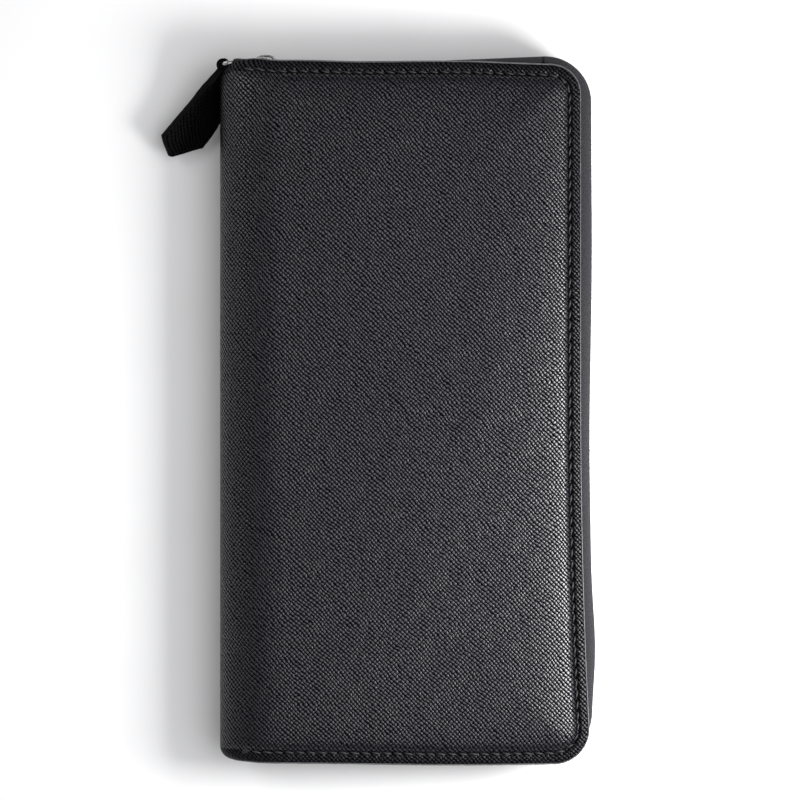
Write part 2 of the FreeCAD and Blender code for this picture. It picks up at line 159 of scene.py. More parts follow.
def cross_hatched_leather(name, dark, light, rough_low, rough_high, gloss=0.75, deep=0.0003):
    """Leather pressed with two sets of slanting grooves, one stronger than the other."""
    s = Shader(name, specular=0.5)
    uv = s.uv()
    across, along, _ = s.split(uv)
    drift = s.scaled(s.noise(uv, 0.11, 3.0), -1.5, 1.5)
    jitter = s.scaled(s.noise(uv, 0.9, 3.0), -0.55, 0.55)
    fall = s.math("ADD", s.math("ADD", across, along), s.math("ADD", drift, jitter))
    climb = s.math("ADD", s.math("SUBTRACT", across, along), s.math("SUBTRACT", drift, jitter))
    main = s.math("ABSOLUTE", s.math("SINE", s.math("MULTIPLY", fall, math.pi / 1.27)))
    second = s.math("ABSOLUTE", s.math("SINE", s.math("MULTIPLY", climb, math.pi / 1.36)))
    main = s.math("POWER", main, 0.55)
    second = s.math("POWER", second, 0.7)
    grain = s.noise(uv, 2.6, 3.0, 0.6)
    pillow = s.math("MULTIPLY", main, s.math("ADD", s.math("MULTIPLY", second, 0.42), 0.58))
    height = s.math("ADD", s.math("MULTIPLY", pillow, 0.8), s.math("MULTIPLY", grain, 0.2))
    cloud = s.noise(uv, 0.03, 3.0)
    rough = s.math("ADD", s.scaled(pillow, rough_high, rough_low), s.scaled(cloud, -0.05, 0.05))
    # Colour runs dark in the grooves and light on the raised grains: painted shade in the grooves, with a
    # little random grain tone.
    colour = s.ramp(height, (0.42, dark), (0.92, light))
    shine = s.node("ShaderNodeMapRange", interpolation_type="SMOOTHSTEP")
    s.put(height, shine.inputs["Value"])
    shine.inputs["From Min"].default_value = 0.45
    shine.inputs["From Max"].default_value = 0.95
    shine.inputs["To Max"].default_value = gloss
    s.put(shine.outputs["Result"], s.base.inputs["Specular IOR Level"])
    s.bump(height, deep)
    return s.finish(colour, rough)


def smooth_leather(name, dark, light, rough_low=0.38, rough_high=0.55):
    """Fine pebbled leather for the inside."""
    s = Shader(name)
    uv = s.uv()
    cells = s.node("ShaderNodeTexVoronoi", feature="DISTANCE_TO_EDGE")
    s.put(uv, cells.inputs["Vector"])
    cells.inputs["Scale"].default_value = 1.5
    grain = s.math("ADD", cells.outputs["Distance"], s.math("MULTIPLY", s.noise(uv, 3.0), 0.3))
    s.bump(grain, 0.00008)
    return s.finish(s.ramp(grain, (0.05, dark), (0.7, light)), s.scaled(grain, rough_high, rough_low))


def woven(name, dark, light, pitch, herringbone=0.0, rough=0.75, deep=0.00009, fleck=0.3):
    """Cloth woven from two sets of threads, with a herringbone slant where one is asked for."""
    s = Shader(name, specular=0.3)
    uv = s.uv()
    across, along, _ = s.split(uv)
    if herringbone:
        fold = s.math("PINGPONG", across, herringbone)
        first = s.math("SINE", s.math("MULTIPLY", s.math("ADD", along, fold), 2 * math.pi / pitch))
        second = s.math("SINE", s.math("MULTIPLY", across, 2 * math.pi / (pitch * 0.9)))
        threads = s.math("ADD", s.math("MULTIPLY", first, 0.7), s.math("MULTIPLY", second, 0.25))
    else:
        first = s.math("SINE", s.math("MULTIPLY", along, 2 * math.pi / pitch))
        second = s.math("SINE", s.math("MULTIPLY", across, 2 * math.pi / pitch))
        threads = s.math("MULTIPLY", first, second)
    fluff = s.scaled(s.noise(uv, 1.9, 4.0, 0.7), -1, 2)
    height = s.math("ADD", s.scaled(threads, 0.25, 0.75), s.math("MULTIPLY", fluff, fleck))
    s.bump(height, deep)
    return s.finish(s.ramp(height, (0.2, dark), (0.95, light)), s.scaled(height, rough + 0.1, rough - 0.05))


def metal(name, colour, low, high):
    """Plated metal with fine scratches and a little wear."""
    s = Shader(name, metal=1.0)
    place = s.place()
    fine = s.noise(place, 2200, 3.0)
    broad = s.noise(place, 180, 3.0)
    s.bump(s.math("ADD", fine, broad), 0.000012)
    tint = s.ramp(broad, (0.3, [c * 0.86 for c in colour]), (0.75, colour))
    wear = s.math("ADD", s.math("MULTIPLY", fine, 0.5), s.math("MULTIPLY", broad, 0.5))
    return s.finish(tint, s.scaled(wear, low, high))


def plain(name, dark, light, scale, rough, deep, specular=0.5):
    """A paint, thread or plastic with a fine uneven surface."""
    s = Shader(name, specular=specular)
    grain = s.noise(s.place(), scale, 4.0)
    s.bump(grain, deep)
    return s.finish(s.ramp(grain, (0.3, dark), (0.7, light)), s.scaled(grain, rough - 0.08, rough + 0.08))


# The dark colour given to each cross-hatched leather is painted shade in its grooves.
LEATHER = cross_hatched_leather("cross_hatched", (0.001, 0.0009, 0.0022), (0.0125, 0.0118, 0.0165),
                                0.26, 0.48, gloss=0.85, deep=0.0002)
# A darker, less glossy copy of the cover leather for the stitched rim: its darker colour is painted shade.
BORDER_LEATHER_SHADED = cross_hatched_leather("border_leather_shaded", (0.0006, 0.0006, 0.0012), (0.006, 0.0057, 0.0078),
                                       0.32, 0.55, gloss=0.32, deep=0.00022)
# A darker, duller copy of the cover leather for the pull strap: its matte finish is the strap's own, its
# near-black colour is painted shade.
PULL_LEATHER_SHADED = cross_hatched_leather("pull_leather", (0.0012, 0.0012, 0.0013), (0.0028, 0.0028, 0.003),
                                     0.6, 0.75, gloss=0.08, deep=0.00008)
PULL_EDGE = plain("pull_edge", (0.0012, 0.0012, 0.0013), (0.0035, 0.0035, 0.0036), 1500, 0.75, 0.00003, 0.06)
# Edge paint coloured light grey: a painted highlight along the leather's cut edges.
EDGE_PAINT_HIGHLIGHT = plain("edge_paint_highlight", (0.06, 0.06, 0.063), (0.12, 0.12, 0.126), 900, 0.3, 0.00003)
THREAD = plain("thread", (0.006, 0.006, 0.0065), (0.022, 0.022, 0.024), 4000, 0.6, 0.00006)
INNER = smooth_leather("inner_leather", (0.008, 0.008, 0.009), (0.03, 0.029, 0.031))
LINING = woven("lining_cloth", (0.012, 0.012, 0.013), (0.04, 0.039, 0.042), 0.7)
TAPE = woven("zip_tape_cloth", (0.0015, 0.0015, 0.0022), (0.032, 0.0315, 0.037), 0.7,
             herringbone=1.4, rough=0.85, deep=0.00014, fleck=0.7)
COIL = plain("nylon_coil", (0.012, 0.012, 0.013), (0.03, 0.03, 0.032), 1500, 0.35, 0.00002)
FOAM = plain("foam_board", (0.012, 0.012, 0.012), (0.04, 0.039, 0.038), 1200, 0.85, 0.0001)
NICKEL = metal("nickel", (0.44, 0.43, 0.42), 0.14, 0.34)


# ---------------------------------------------------------------- meshes
def make(name, points, faces, material, uvs=None, smooth=True):
    """A mesh from points in millimetres; uvs hold one place in millimetres for each point."""
    mesh = bpy.data.meshes.new(name)
    mesh.from_pydata((np.asarray(points, float) * MM).tolist(), [], [list(map(int, face)) for face in faces])
    layer = mesh.uv_layers.new(name="mm")
    corners = np.zeros(len(mesh.loops), np.int32)
    mesh.loops.foreach_get("vertex_index", corners)
    flat = np.asarray(points, float)[:, :2] if uvs is None else np.asarray(uvs, float)
    layer.data.foreach_set("uv", flat[corners].astype(np.float32).ravel())
    mesh.polygons.foreach_set("use_smooth", [smooth] * len(mesh.polygons))
    mesh.materials.append(material)
    mesh.validate()
    mesh.update()
    obj = bpy.data.objects.new(name, mesh)
    bpy.context.scene.collection.objects.link(obj)
    return obj


def outward(obj):
    """Turn every face of a closed mesh outwards."""
    bpy.context.view_layer.objects.active = obj
    bpy.ops.object.select_all(action="DESELECT")
    obj.select_set(True)
    bpy.ops.object.mode_set(mode="EDIT")
    bpy.ops.mesh.select_all(action="SELECT")
    bpy.ops.mesh.normals_make_consistent(inside=False)
    bpy.ops.object.mode_set(mode="OBJECT")
    return obj


def grid_faces(rows, columns, start=0, closed=False, flip=False):
    faces = []
    last = columns if closed else columns - 1
    for row in range(rows - 1):
        for column in range(last):
            a = start + row * columns + column
            b = start + row * columns + (column + 1) % columns
            face = (a, b, b + columns, a + columns)
            faces.append(face[::-1] if flip else face)
    return faces


def run_along(line):
    """Length from a line's start to each of its points."""
    return np.r_[0, np.cumsum(np.linalg.norm(np.diff(line, axis=0), axis=1))]


def sample(spots, run, values):
    """Rows of values read off at spots along a run."""
    return np.stack([np.interp(spots, run, column) for column in np.asarray(values).T], 1)


def unit(rows):
    return rows / np.linalg.norm(rows, axis=1, keepdims=True)


def middle_path(x, y):
    """Places in the middle plane. One of x and y may be a single number."""
    x, y = np.broadcast_arrays(x, y)
    return np.stack([x, y, np.full(len(x), MID)], 1)


def round_profile(width, height, count=6):
    """An oval for each width and height along a path."""
    ring = np.linspace(0, 2 * math.pi, count + 1)[:-1]
    return np.stack([np.outer(width, np.cos(ring)), np.outer(height, np.sin(ring))], -1)


def humps(x, *rows):
    """A sum of smooth humps, each with its height, place and half width."""
    return sum(height * np.exp(-((x - place) / width) ** 2) for height, place, width in rows)


def sweep(path, across, up, profile, caps=True):
    """Points, faces and uvs of a closed profile carried along a path; across and up are its directions."""
    path = np.asarray(path, float)
    across, up = (np.broadcast_to(np.asarray(value, float), path.shape) for value in (across, up))
    profile = np.asarray(profile, float)
    if profile.ndim == 2:
        profile = np.repeat(profile[None], len(path), 0)
    points = path[:, None] + across[:, None] * profile[..., :1] + up[:, None] * profile[..., 1:]
    count = profile.shape[1]
    faces = grid_faces(len(path), count, closed=True)
    if caps:
        faces.append(tuple(range(count))[::-1])
        faces.append(tuple((len(path) - 1) * count + index for index in range(count)))
    uvs = np.stack(np.broadcast_arrays(run_along(profile[0])[None, :], run_along(path)[:, None]), -1)
    return points.reshape(-1, 3), faces, uvs.reshape(-1, 2)


def swept(name, material, path, across, up, profile):
    """A closed piece made by one sweep."""
    points, faces, uvs = sweep(path, across, up, profile)
    return outward(make(name, points, faces, material, uvs))


def join_parts(parts):
    """Several (points, faces, uvs) sets as one."""
    points, faces, uvs, start = [], [], [], 0
    for part_points, part_faces, part_uvs in parts:
        points.append(part_points)
        uvs.append(part_uvs)
        faces += [tuple(index + start for index in face) for face in part_faces]
        start += len(part_points)
    return np.concatenate(points), faces, np.concatenate(uvs)


def seam(line, lift):
    """Stitches laid along a line; lift is the way out of the surface at each of its points."""
    run = run_along(line)
    arch = np.sin(np.linspace(0.05, math.pi - 0.05, 6)) ** 0.5
    wide = SEAM_THREAD * arch
    parts = []
    for start in np.arange(0, run[-1] - 0.8 * SEAM_PITCH, SEAM_PITCH):
        spots = np.linspace(start + 0.11 * SEAM_PITCH, start + 0.85 * SEAM_PITCH, 6)
        up = sample(spots, run, lift)
        path = sample(spots, run, line) + up * (0.14 * arch - 0.06)[:, None]
        across = unit(np.cross(up, np.gradient(path, axis=0)))
        parts.append(sweep(path, across, up, round_profile(wide, 0.77 * wide)))
    return parts


def blend_to_divider(obj, side, cover, at_cover, at_divider):
    """Bake a piece's placement into its mesh; it is not bent between its cover and the divider."""
    order = slice(None, None, -1 if side > 0 else 1)
    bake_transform(obj)


# ---------------------------------------------------------------- outer leather
def panel_right(y, side):
    y = np.asarray(y, float)
    if side > 0:
        return 48.35 + 2.45 * np.clip((10 - y) / 100, 0, 1) ** 2.2
    return 49.2 + 0.5 * np.clip((10 - y) / 100, 0, 1) ** 2


def row_end(y, side):
    """Where the row at y meets the free edge, round the corners too."""
    y = np.asarray(y, float)
    end = panel_right(y, side)
    for gap, radius in ((TOP - y, ROUND_TOP), (y - FOOT, ROUND_FOOT)):
        inside = np.clip(radius - gap, 0, radius)
        end = end - radius + np.sqrt(np.maximum(radius ** 2 - inside ** 2, 0))
    return end


def edge_distance(x, y, side):
    """Distance to the nearest free edge of the cover."""
    right = panel_right(y, side) - x
    nearest = np.minimum(np.minimum(right, TOP - y), y - FOOT)
    for gap, radius in ((TOP - y, ROUND_TOP), (y - FOOT, ROUND_FOOT)):
        corner = (right < radius) & (gap < radius)
        reach = radius - np.hypot(radius - right, radius - gap)
        nearest = np.where(corner, reach, nearest)
    return nearest


def stitch_line(side):
    """Evenly spaced stitch holes beside the free edges, with the direction of the seam."""
    line = [(x, TOP - STITCH_INSET) for x in np.arange(-45, panel_right(TOP, side) - ROUND_TOP, 0.2)]
    radius = ROUND_TOP - STITCH_INSET
    centre = (float(panel_right(TOP - ROUND_TOP, side)) - ROUND_TOP, TOP - ROUND_TOP)
    for turn in np.radians(np.arange(90, -0.1, -3)):
        line.append((centre[0] + radius * math.cos(turn), centre[1] + radius * math.sin(turn)))
    for y in np.arange(TOP - ROUND_TOP, FOOT + ROUND_FOOT, -0.2):
        line.append((float(panel_right(y, side)) - STITCH_INSET, y))
    radius = ROUND_FOOT - STITCH_INSET
    centre = (float(panel_right(FOOT + ROUND_FOOT, side)) - ROUND_FOOT, FOOT + ROUND_FOOT)
    for turn in np.radians(np.arange(0, -90.1, -3)):
        line.append((centre[0] + radius * math.cos(turn), centre[1] + radius * math.sin(turn)))
    line += [(x, FOOT + STITCH_INSET) for x in np.arange(centre[0], -45, -0.2)]
    line = np.array(line)
    run = run_along(line)
    return sample(np.arange(0.5, run[-1], STITCH_PITCH), run, line)


def ripple(x, y):
    """Slow unevenness of soft padding."""
    return (0.10 * np.sin(x / 17 + 0.6) * np.sin(y / 29 + 1.1) + 0.06 * np.sin(x / 9 - y / 21)
            + 0.05 * np.sin(y / 12 + x / 31))


def depth_at(x, y, side, holes):
    """Height of the leather over the middle plane."""
    near = edge_distance(x, y, side)
    rise = np.clip(near - 3.2, 0, None)
    steps = ((0.36, 0.6), (0.29, 4.5), (0.35, 12))
    swell = sum(share * (1 - np.exp(-rise / reach)) for share, reach in steps)
    depth = RIM + CROWN * swell + ripple(x, y) * np.clip(rise / 8, 0, 1)
    depth = depth - 0.4 * np.exp(-((near - STITCH_INSET) / 0.55) ** 2) - 0.12 * np.exp(-near / 0.3)
    depth = depth - 0.5 * np.clip(1 - near / 2.4, 0, 1)
    flat = np.stack([x.ravel(), y.ravel()], 1)
    close = np.full(len(flat), 99.0)
    for hole in holes:
        close = np.minimum(close, np.hypot(flat[:, 0] - hole[0], flat[:, 1] - hole[1]))
    return np.minimum(depth - 0.7 * np.exp(-(close.reshape(x.shape) / 0.6) ** 2), 11.0)


def outline_warp(points):
    """Push the top edge out over the slider, and let the ends sag a little elsewhere."""
    points = np.array(points, float)
    x, y = points[:, 0], points[:, 1]
    out = humps(x, (0.95, -42.0, 4.6), (0.6, -30, 13), (1.1, -47.3, 2.5), (0.35, 8, 20))
    out = (out - 0.6 * np.clip((x - 20) / 22, 0, 1)) * np.clip((x + 51.8) / 3, 0, 1)
    down = humps(x, (0.55, 14, 30)) - 0.5 * np.clip((-40 - x) / 11, 0, 1)
    points[:, 1] += out * np.clip((y - 70) / 24, 0, 1) ** 2 - down * np.clip((-75 - y) / 20, 0, 1) ** 2
    return points


def skin_surface(side, holes):
    """The outside of one cover and its half of the spine roll: rows of points, uvs and normals."""
    ends = np.radians(np.linspace(90, 0, 16))
    rows_foot = FOOT + ROUND_FOOT * (1 - np.sin(ends))
    rows_top = TOP - ROUND_TOP * (1 - np.sin(ends[::-1]))
    rows = np.r_[rows_foot, np.arange(rows_foot[-1] + 0.75, rows_top[0] - 0.3, 0.75), rows_top]
    y = rows[:, None]
    right = row_end(y, side)
    # Columns close together beside the free edge, as distances from it over the panel's usual width.
    border = np.array([12, 11, 10, 9, 8, 7.2, 6.5, 5.8, 5.2, 4.6, 4.1, 3.7, 3.4, 3.1, 2.85, 2.6, 2.35, 2.1,
                       1.85, 1.6, 1.2, 0.8, 0.4, 0.15, 0]) / 86.5
    spans = np.r_[np.linspace(0, 1, 96)[:-1] * (1 - border[0]), 1 - border]
    flat_x = ROLL_X + (right - ROLL_X) * spans[None, :]
    flat_y = np.broadcast_to(y, flat_x.shape)
    depth = depth_at(flat_x, flat_y, side, holes)
    turns = np.radians(np.linspace(90, 0, 22))[:-1]
    gap = np.minimum(TOP - y, y - FOOT)
    inside = np.clip(SPINE_ROUND - gap, 0, SPINE_ROUND)
    left = SPINE_X + SPINE_ROUND - np.sqrt(SPINE_ROUND ** 2 - inside ** 2)
    roll_x = ROLL_X - (ROLL_X - left) * np.sin(turns)[None, :] ** 0.94
    roll_depth = depth[:, :1] * np.cos(turns)[None, :] ** 0.94
    x = np.concatenate([roll_x, flat_x], 1)
    z = MID + side * np.concatenate([roll_depth, depth], 1)
    y = np.broadcast_to(y, x.shape)
    surface = np.stack([x, y, z], -1)
    middle = len(x) // 2
    arc = np.r_[0, np.cumsum(np.hypot(np.diff(x[middle]), np.diff(z[middle])))]
    arc = arc - arc[len(turns)] + ROLL_X
    u = np.where(np.arange(x.shape[1])[None, :] < len(turns), arc[None, :], x)
    uvs = np.stack([u, y], -1)
    along_rows = np.gradient(surface, axis=0)
    along_columns = np.gradient(surface, axis=1)
    normal = np.cross(along_columns, along_rows) * side
    normal /= np.maximum(np.linalg.norm(normal, axis=-1, keepdims=True), 1e-9)
    return surface, uvs, normal


def outer_skin(name, side):
    """One cover's leather as a shell with turned edges, coloured light grey as a painted highlight along the
    cut edge, and its stitch holes.
    """
    holes = stitch_line(side)
    surface, uvs, normal = skin_surface(side, holes)
    count_rows, count_columns = surface.shape[:2]
    top_row = [(count_rows - 1, column) for column in range(count_columns)]
    right_side = [(row, count_columns - 1) for row in range(count_rows - 2, 0, -1)]
    foot_row = [(0, column) for column in range(count_columns - 1, -1, -1)]
    chain = top_row + right_side + foot_row
    border = np.array([surface[place] for place in chain])
    border_uv = np.array([uvs[place] for place in chain])
    tilt = np.array([normal[place] for place in chain])
    tilt[:, 1] *= 0.2
    tilt = unit(tilt)
    run = np.gradient(border[:, :2], axis=0)
    away = np.stack([-run[:, 1], run[:, 0], np.zeros(len(run))], 1)
    away /= np.maximum(np.linalg.norm(away, axis=1, keepdims=True), 1e-9)
    away[:len(top_row) - 1] = (0, 1, 0)
    away[-len(foot_row) + 1:] = (0, -1, 0)
    edge = [(0.25, 0.1), (0.45, 0.35), (0.5, 0.65), (0.42, 0.95), (0.2, 1.15), (-0.2, SKIN), (-5.0, SKIN)]
    points = [surface.reshape(-1, 3)]
    points_uv = [uvs.reshape(-1, 2)]
    for out, down in edge:
        points.append(border + away * out - tilt * down)
        points_uv.append(border_uv + away[:, :2] * (out + down))
    faces = grid_faces(count_rows, count_columns, flip=side < 0)
    base = count_rows * count_columns
    previous = [row * count_columns + column for row, column in chain]
    # The first five rings of the turned edge take the light grey edge material, a painted highlight.
    painted = []
    for step in range(len(edge)):
        following = [base + step * len(chain) + index for index in range(len(chain))]
        for index in range(len(chain) - 1):
            face = (previous[index], previous[index + 1], following[index + 1], following[index])
            painted.append(len(faces) if step < 5 else -1)
            faces.append(face[::-1] if side > 0 else face)
        previous = following
    obj = make(name, outline_warp(np.concatenate(points)), faces, LEATHER, np.concatenate(points_uv))
    obj.data.materials.append(EDGE_PAINT_HIGHLIGHT)
    obj.data.materials.append(BORDER_LEATHER_SHADED)
    for index in painted:
        if index >= 0:
            obj.data.polygons[index].material_index = 1
    # Faces within 3.1 mm of the free edge take the darker rim copy of the leather: painted shade on the rim.
    level = edge_distance(surface[..., 0], surface[..., 1], side)
    level = (level[1:, 1:] + level[:-1, 1:] + level[1:, :-1] + level[:-1, :-1]).ravel() / 4
    for index in np.flatnonzero(level < 3.1):
        obj.data.polygons[int(index)].material_index = 2
    return obj, holes


def stitches(name, side, holes):
    """Thread laid from hole to hole, each stitch a short arched and slightly slanted bar."""
    parts = []
    arc = np.linspace(0, 1, 7)
    for start, end in zip(holes[:-1], holes[1:]):
        run = end - start
        run = run / np.linalg.norm(run)
        cross = np.array([-run[1], run[0]])
        first = start + run * 0.28 + cross * 0.22
        last = end - run * 0.28 - cross * 0.22
        path = first[None] * (1 - arc[:, None]) + last[None] * arc[:, None]
        level = RIM - 0.36 + 0.34 * np.sin(math.pi * arc) ** 0.5
        width = 0.3 * np.sqrt(np.clip(np.sin(math.pi * np.clip(arc, 0.06, 0.94)), 0.05, 1))
        parts.append(sweep(np.c_[path, MID + side * level], (*cross, 0), (0, 0, side),
                           round_profile(width, width * 0.8)))
    points, faces, uvs = join_parts(parts)
    return outward(make(name, outline_warp(points), faces, THREAD, uvs))


for label, side, cover in COVERS:
    skin, holes = outer_skin(label + "_skin", side)
    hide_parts(label + "_leather")
    if side > 0:
        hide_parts("spine_leather")
    blend_to_divider(skin, side, cover, *FOLD)
    thread = stitches(label + "_stitches", side, holes)
    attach(thread, cover)


# ---------------------------------------------------------------- zip
def zip_line(start_x):
    """Points and outward directions of the zip line round the three free sides."""
    radius = ZIP_ROUND
    bend_x = ZIP_SIDE - radius
    slope = math.tan(ZIP_TILT)
    centre_y = SLIDER_Y + (bend_x - SLIDER_X) * slope - radius / math.cos(ZIP_TILT)
    points, away = [], []
    for x in np.arange(start_x, bend_x, 0.8):
        points.append((x, SLIDER_Y + (x - SLIDER_X) * slope))
        away.append((-math.sin(ZIP_TILT), math.cos(ZIP_TILT)))
    for turn in np.linspace(math.pi / 2 + ZIP_TILT, 0, 25):
        away.append((math.cos(turn), math.sin(turn)))
        points.append((bend_x + radius * away[-1][0], centre_y + radius * away[-1][1]))
    for y in np.arange(centre_y - 0.8, ZIP_FOOT + radius, -0.8):
        points.append((ZIP_SIDE, y))
        away.append((1, 0))
    for turn in np.linspace(0, -math.pi / 2, 25):
        away.append((math.cos(turn), math.sin(turn)))
        points.append((bend_x + radius * away[-1][0], ZIP_FOOT + radius + radius * away[-1][1]))
    for x in np.arange(bend_x - 0.8, start_x, -0.8):
        points.append((x, ZIP_FOOT))
        away.append((0, -1))
    points, away = np.array(points), np.array(away)
    x, y = points.T
    sway = humps(y, (1.1, -66, 15), (-0.45, -8, 26), (0.2, 45, 20)) * np.clip((x - 44) / 6, 0, 1)
    return middle_path(*(points + away * sway[:, None]).T), np.c_[away, np.zeros(len(away))]


def fall_back(x, y):
    """How far the tape may belly out: nothing inside the slider, all of it further on."""
    top = np.clip((x + 32) / 14, 0, 1)
    return np.where(y > 60, top * top * (3 - 2 * top), np.clip((x + 44) / 8, 0.2, 1))


TAPE_LINE = np.array([(-5.5, 6.55), (-3.0, 6.58), (-1.7, 6.5), (-0.85, 6.2), (-0.1, 5.55),
                      (0.5, 4.6), (0.72, 3.6), (0.62, 2.6), (0.25, 1.8), (-0.3, 1.45)])
TAPE_FLAT = np.array([(-5.5, 6.55), (-4.0, 6.58), (-2.6, 6.5), (-1.2, 6.1), (-0.25, 5.1),
                      (0.0, 4.4), (0.0, 3.6), (0.0, 2.8), (0.0, 2.1), (0.0, 1.6)])


def thick_line(line, thick):
    """A closed profile made from an open line and its offset."""
    run = np.gradient(line, axis=0)
    normal = unit(np.stack([-run[:, 1], run[:, 0]], 1))
    return np.concatenate([line, (line + normal * thick)[::-1]])


def zip_tape(name, side):
    path, away = zip_line(-45.6)
    belly = fall_back(path[:, 0], path[:, 1])
    profiles = np.array([thick_line(TAPE_FLAT * (1 - b) + TAPE_LINE * b, -0.5) for b in belly])
    return swept(name, TAPE, path, away, (0, 0, side), profiles)


def coil_row(name, line, across, side, centre, radii, wire, pitch):
    """A nylon coil wound along a line; the other side's coil is half a turn ahead."""
    run = run_along(line)
    places = np.linspace(0, run[-1], int(run[-1] / pitch * 10))
    turn = 2 * math.pi * places / pitch + (0 if side > 0 else math.pi)
    out = sample(places, run, np.broadcast_to(across, line.shape))
    rise = np.array([[0, 0, side]])
    swing = centre[0] + radii[0] * np.cos(turn)
    lift = centre[1] + radii[1] * np.sin(turn)
    spine = sample(places, run, line) + out * swing[:, None] + rise * lift[:, None]
    forward = unit(np.gradient(spine, axis=0))
    radial = out * np.cos(turn)[:, None] + rise * np.sin(turn)[:, None]
    radial = unit(radial - forward * (radial * forward).sum(1, keepdims=True))
    return swept(name, COIL, spine, radial, np.cross(forward, radial), round_profile(wire, wire)[0])


for label, side, cover in COVERS:
    tape = zip_tape(label + "_tape", side)
    coil = coil_row(label + "_coil", *zip_line(-36.4), side, (-0.45, 0.75), (0.62, 1.0), 0.3, 1.3)
    for piece, node, slot in ((tape, "_zip_tape", "zip_tape"), (coil, "_zip_coil", "zip_coil")):
        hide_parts(label + node)
        blend_to_divider(piece, side, cover, *FOLD)


# ---------------------------------------------------------------- sliders and pulls
def prism(name, outline, low, high, axis, bevel):
    """A metal plate from a flat outline, with its edges rounded over."""
    if axis == "Y":
        ring = [[(x, y, z) for x, z in outline] for y in (low, high)]
    else:
        ring = [[(x, y, z) for x, y in outline] for z in (low, high)]
    count = len(outline)
    points = ring[0] + ring[1]
    faces = [tuple(range(count)), tuple(range(2 * count - 1, count - 1, -1))]
    faces += [(i, i + count, (i + 1) % count + count, (i + 1) % count) for i in range(count)]
    obj = outward(make(name, points, faces, NICKEL))
    soften = obj.modifiers.new("round", "BEVEL")
    soften.width = bevel * MM
    soften.segments = 3
    soften.limit_method = "ANGLE"
    soften.angle_limit = math.radians(35)
    bpy.ops.object.modifier_apply(modifier=soften.name)
    obj.data.polygons.foreach_set("use_smooth", [True] * len(obj.data.polygons))
    obj.data.set_sharp_from_angle(angle=math.radians(50))
    return obj


def rounded(outline, radius, steps=4):
    """The same outline with arcs in place of its corners."""
    result = []
    outline = np.array(outline, float)
    for index, point in enumerate(outline):
        before = outline[index - 1] - point
        after = outline[(index + 1) % len(outline)] - point
        reach = min(radius, 0.45 * np.linalg.norm(before), 0.45 * np.linalg.norm(after))
        first = point + before / np.linalg.norm(before) * reach
        last = point + after / np.linalg.norm(after) * reach
        for share in np.linspace(0, 1, steps + 1):
            result.append((1 - share) ** 2 * first + 2 * share * (1 - share) * point + share ** 2 * last)
    return [tuple(point) for point in result]


def joined(name, objects, matrix):
    """One object from several, put in place by a matrix in millimetres."""
    bpy.ops.object.select_all(action="DESELECT")
    for obj in objects:
        obj.select_set(True)
    bpy.context.view_layer.objects.active = objects[0]
    bpy.ops.object.join()
    obj = objects[0]
    obj.name = name
    shift = matrix.copy()
    shift.translation *= MM
    obj.data.transform(shift)
    return obj


def tube(name, path, radius):
    """A closed ring of wire whose path lies in the local XZ plane."""
    path = np.asarray(path, float)
    forward = unit(np.roll(path, -1, 0) - np.roll(path, 1, 0))
    up = (0.0, 1.0, 0.0)
    points, faces, uvs = sweep(path, np.cross(up, forward), up, round_profile(radius, radius, 16), caps=False)
    last = (len(path) - 1) * 16
    faces += [(last + index, last + (index + 1) % 16, (index + 1) % 16, index) for index in range(16)]
    return outward(make(name, points, faces, NICKEL, uvs))


def slider(name, scale, matrix):
    """Two plates on a wedge, with flanges for the tape and an arched bridge for the pull."""
    half = [(-4.8, -1.6), (-4.2, -3.0), (-2.9, -4.0), (3.4, -4.0), (4.6, -3.2), (4.8, -1.4)]
    plate = rounded(half + [(x, -z) for x, z in half[::-1]], 0.9)
    wedge = rounded([(-4.5, -0.9), (-2.6, -1.3), (-1.2, 0), (-2.6, 1.3), (-4.5, 0.9)], 0.3)
    parts = [
        prism("plate", plate, 1.4, 2.3, "Y", 0.32),
        prism("plate", plate, -2.3, -1.4, "Y", 0.32),
        prism("wedge", wedge, -1.5, 1.5, "Y", 0.05),
    ]
    for way in (-1, 1):
        rail = rounded([(-2.4, way * 3.15), (3.6, way * 3.15), (3.4, way * 3.95), (-2.4, way * 3.95)], 0.25)
        parts.append(prism("rail", rail, 0.6, 1.5, "Y", 0.12))
        parts.append(prism("rail", rail, -1.5, -0.6, "Y", 0.12))
    outer = [(-3.15, 2.15), (-2.95, 3.3), (-2.3, 4.15), (-1.2, 4.52), (0, 4.6)]
    inner = [(-2.4, 2.15), (-2.25, 3.05), (-1.8, 3.65), (-1.0, 3.93), (0, 4.0)]
    arch = outer + [(-x, y) for x, y in outer[-2::-1] + inner] + inner[-2::-1]
    parts.append(prism("bridge", arch, -1.1, 1.1, "Z", 0.28))
    for part in parts:
        part.data.transform(Matrix.Scale(scale, 4))
    return joined(name, parts, matrix)


def about_z(x, y, degrees):
    return Matrix.Translation((x, y, MID)) @ Matrix.Rotation(math.radians(degrees), 4, "Z")


def take_over(obj, node, body=None):
    """Let a piece stand for a CAD node, on a body where it doesn't bend between two."""
    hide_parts(node)
    if body:
        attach(obj, body)


take_over(slider("slider_body", 1.0, about_z(SLIDER_X, SLIDER_Y, 2.4)), "slider", "main_slider")

PIVOT = (SLIDER_X - BRIDGE * math.sin(ZIP_TILT), SLIDER_Y + BRIDGE * math.cos(ZIP_TILT))
LINK_TURN = 2.4 + 4.5
ring = rounded([(0, -2.6), (0, 2.6), (-LINK_LENGTH, 3.45), (-LINK_LENGTH, -3.45)], 1.5, steps=8)
radii = np.array([0.58 + 0.07 * min(1, -x / LINK_LENGTH) for x, _ in ring])
link = joined("link", [tube("link", [(x, 0, z) for x, z in ring], radii)], about_z(*PIVOT, LINK_TURN))
take_over(link, "pull_link", "main_link")

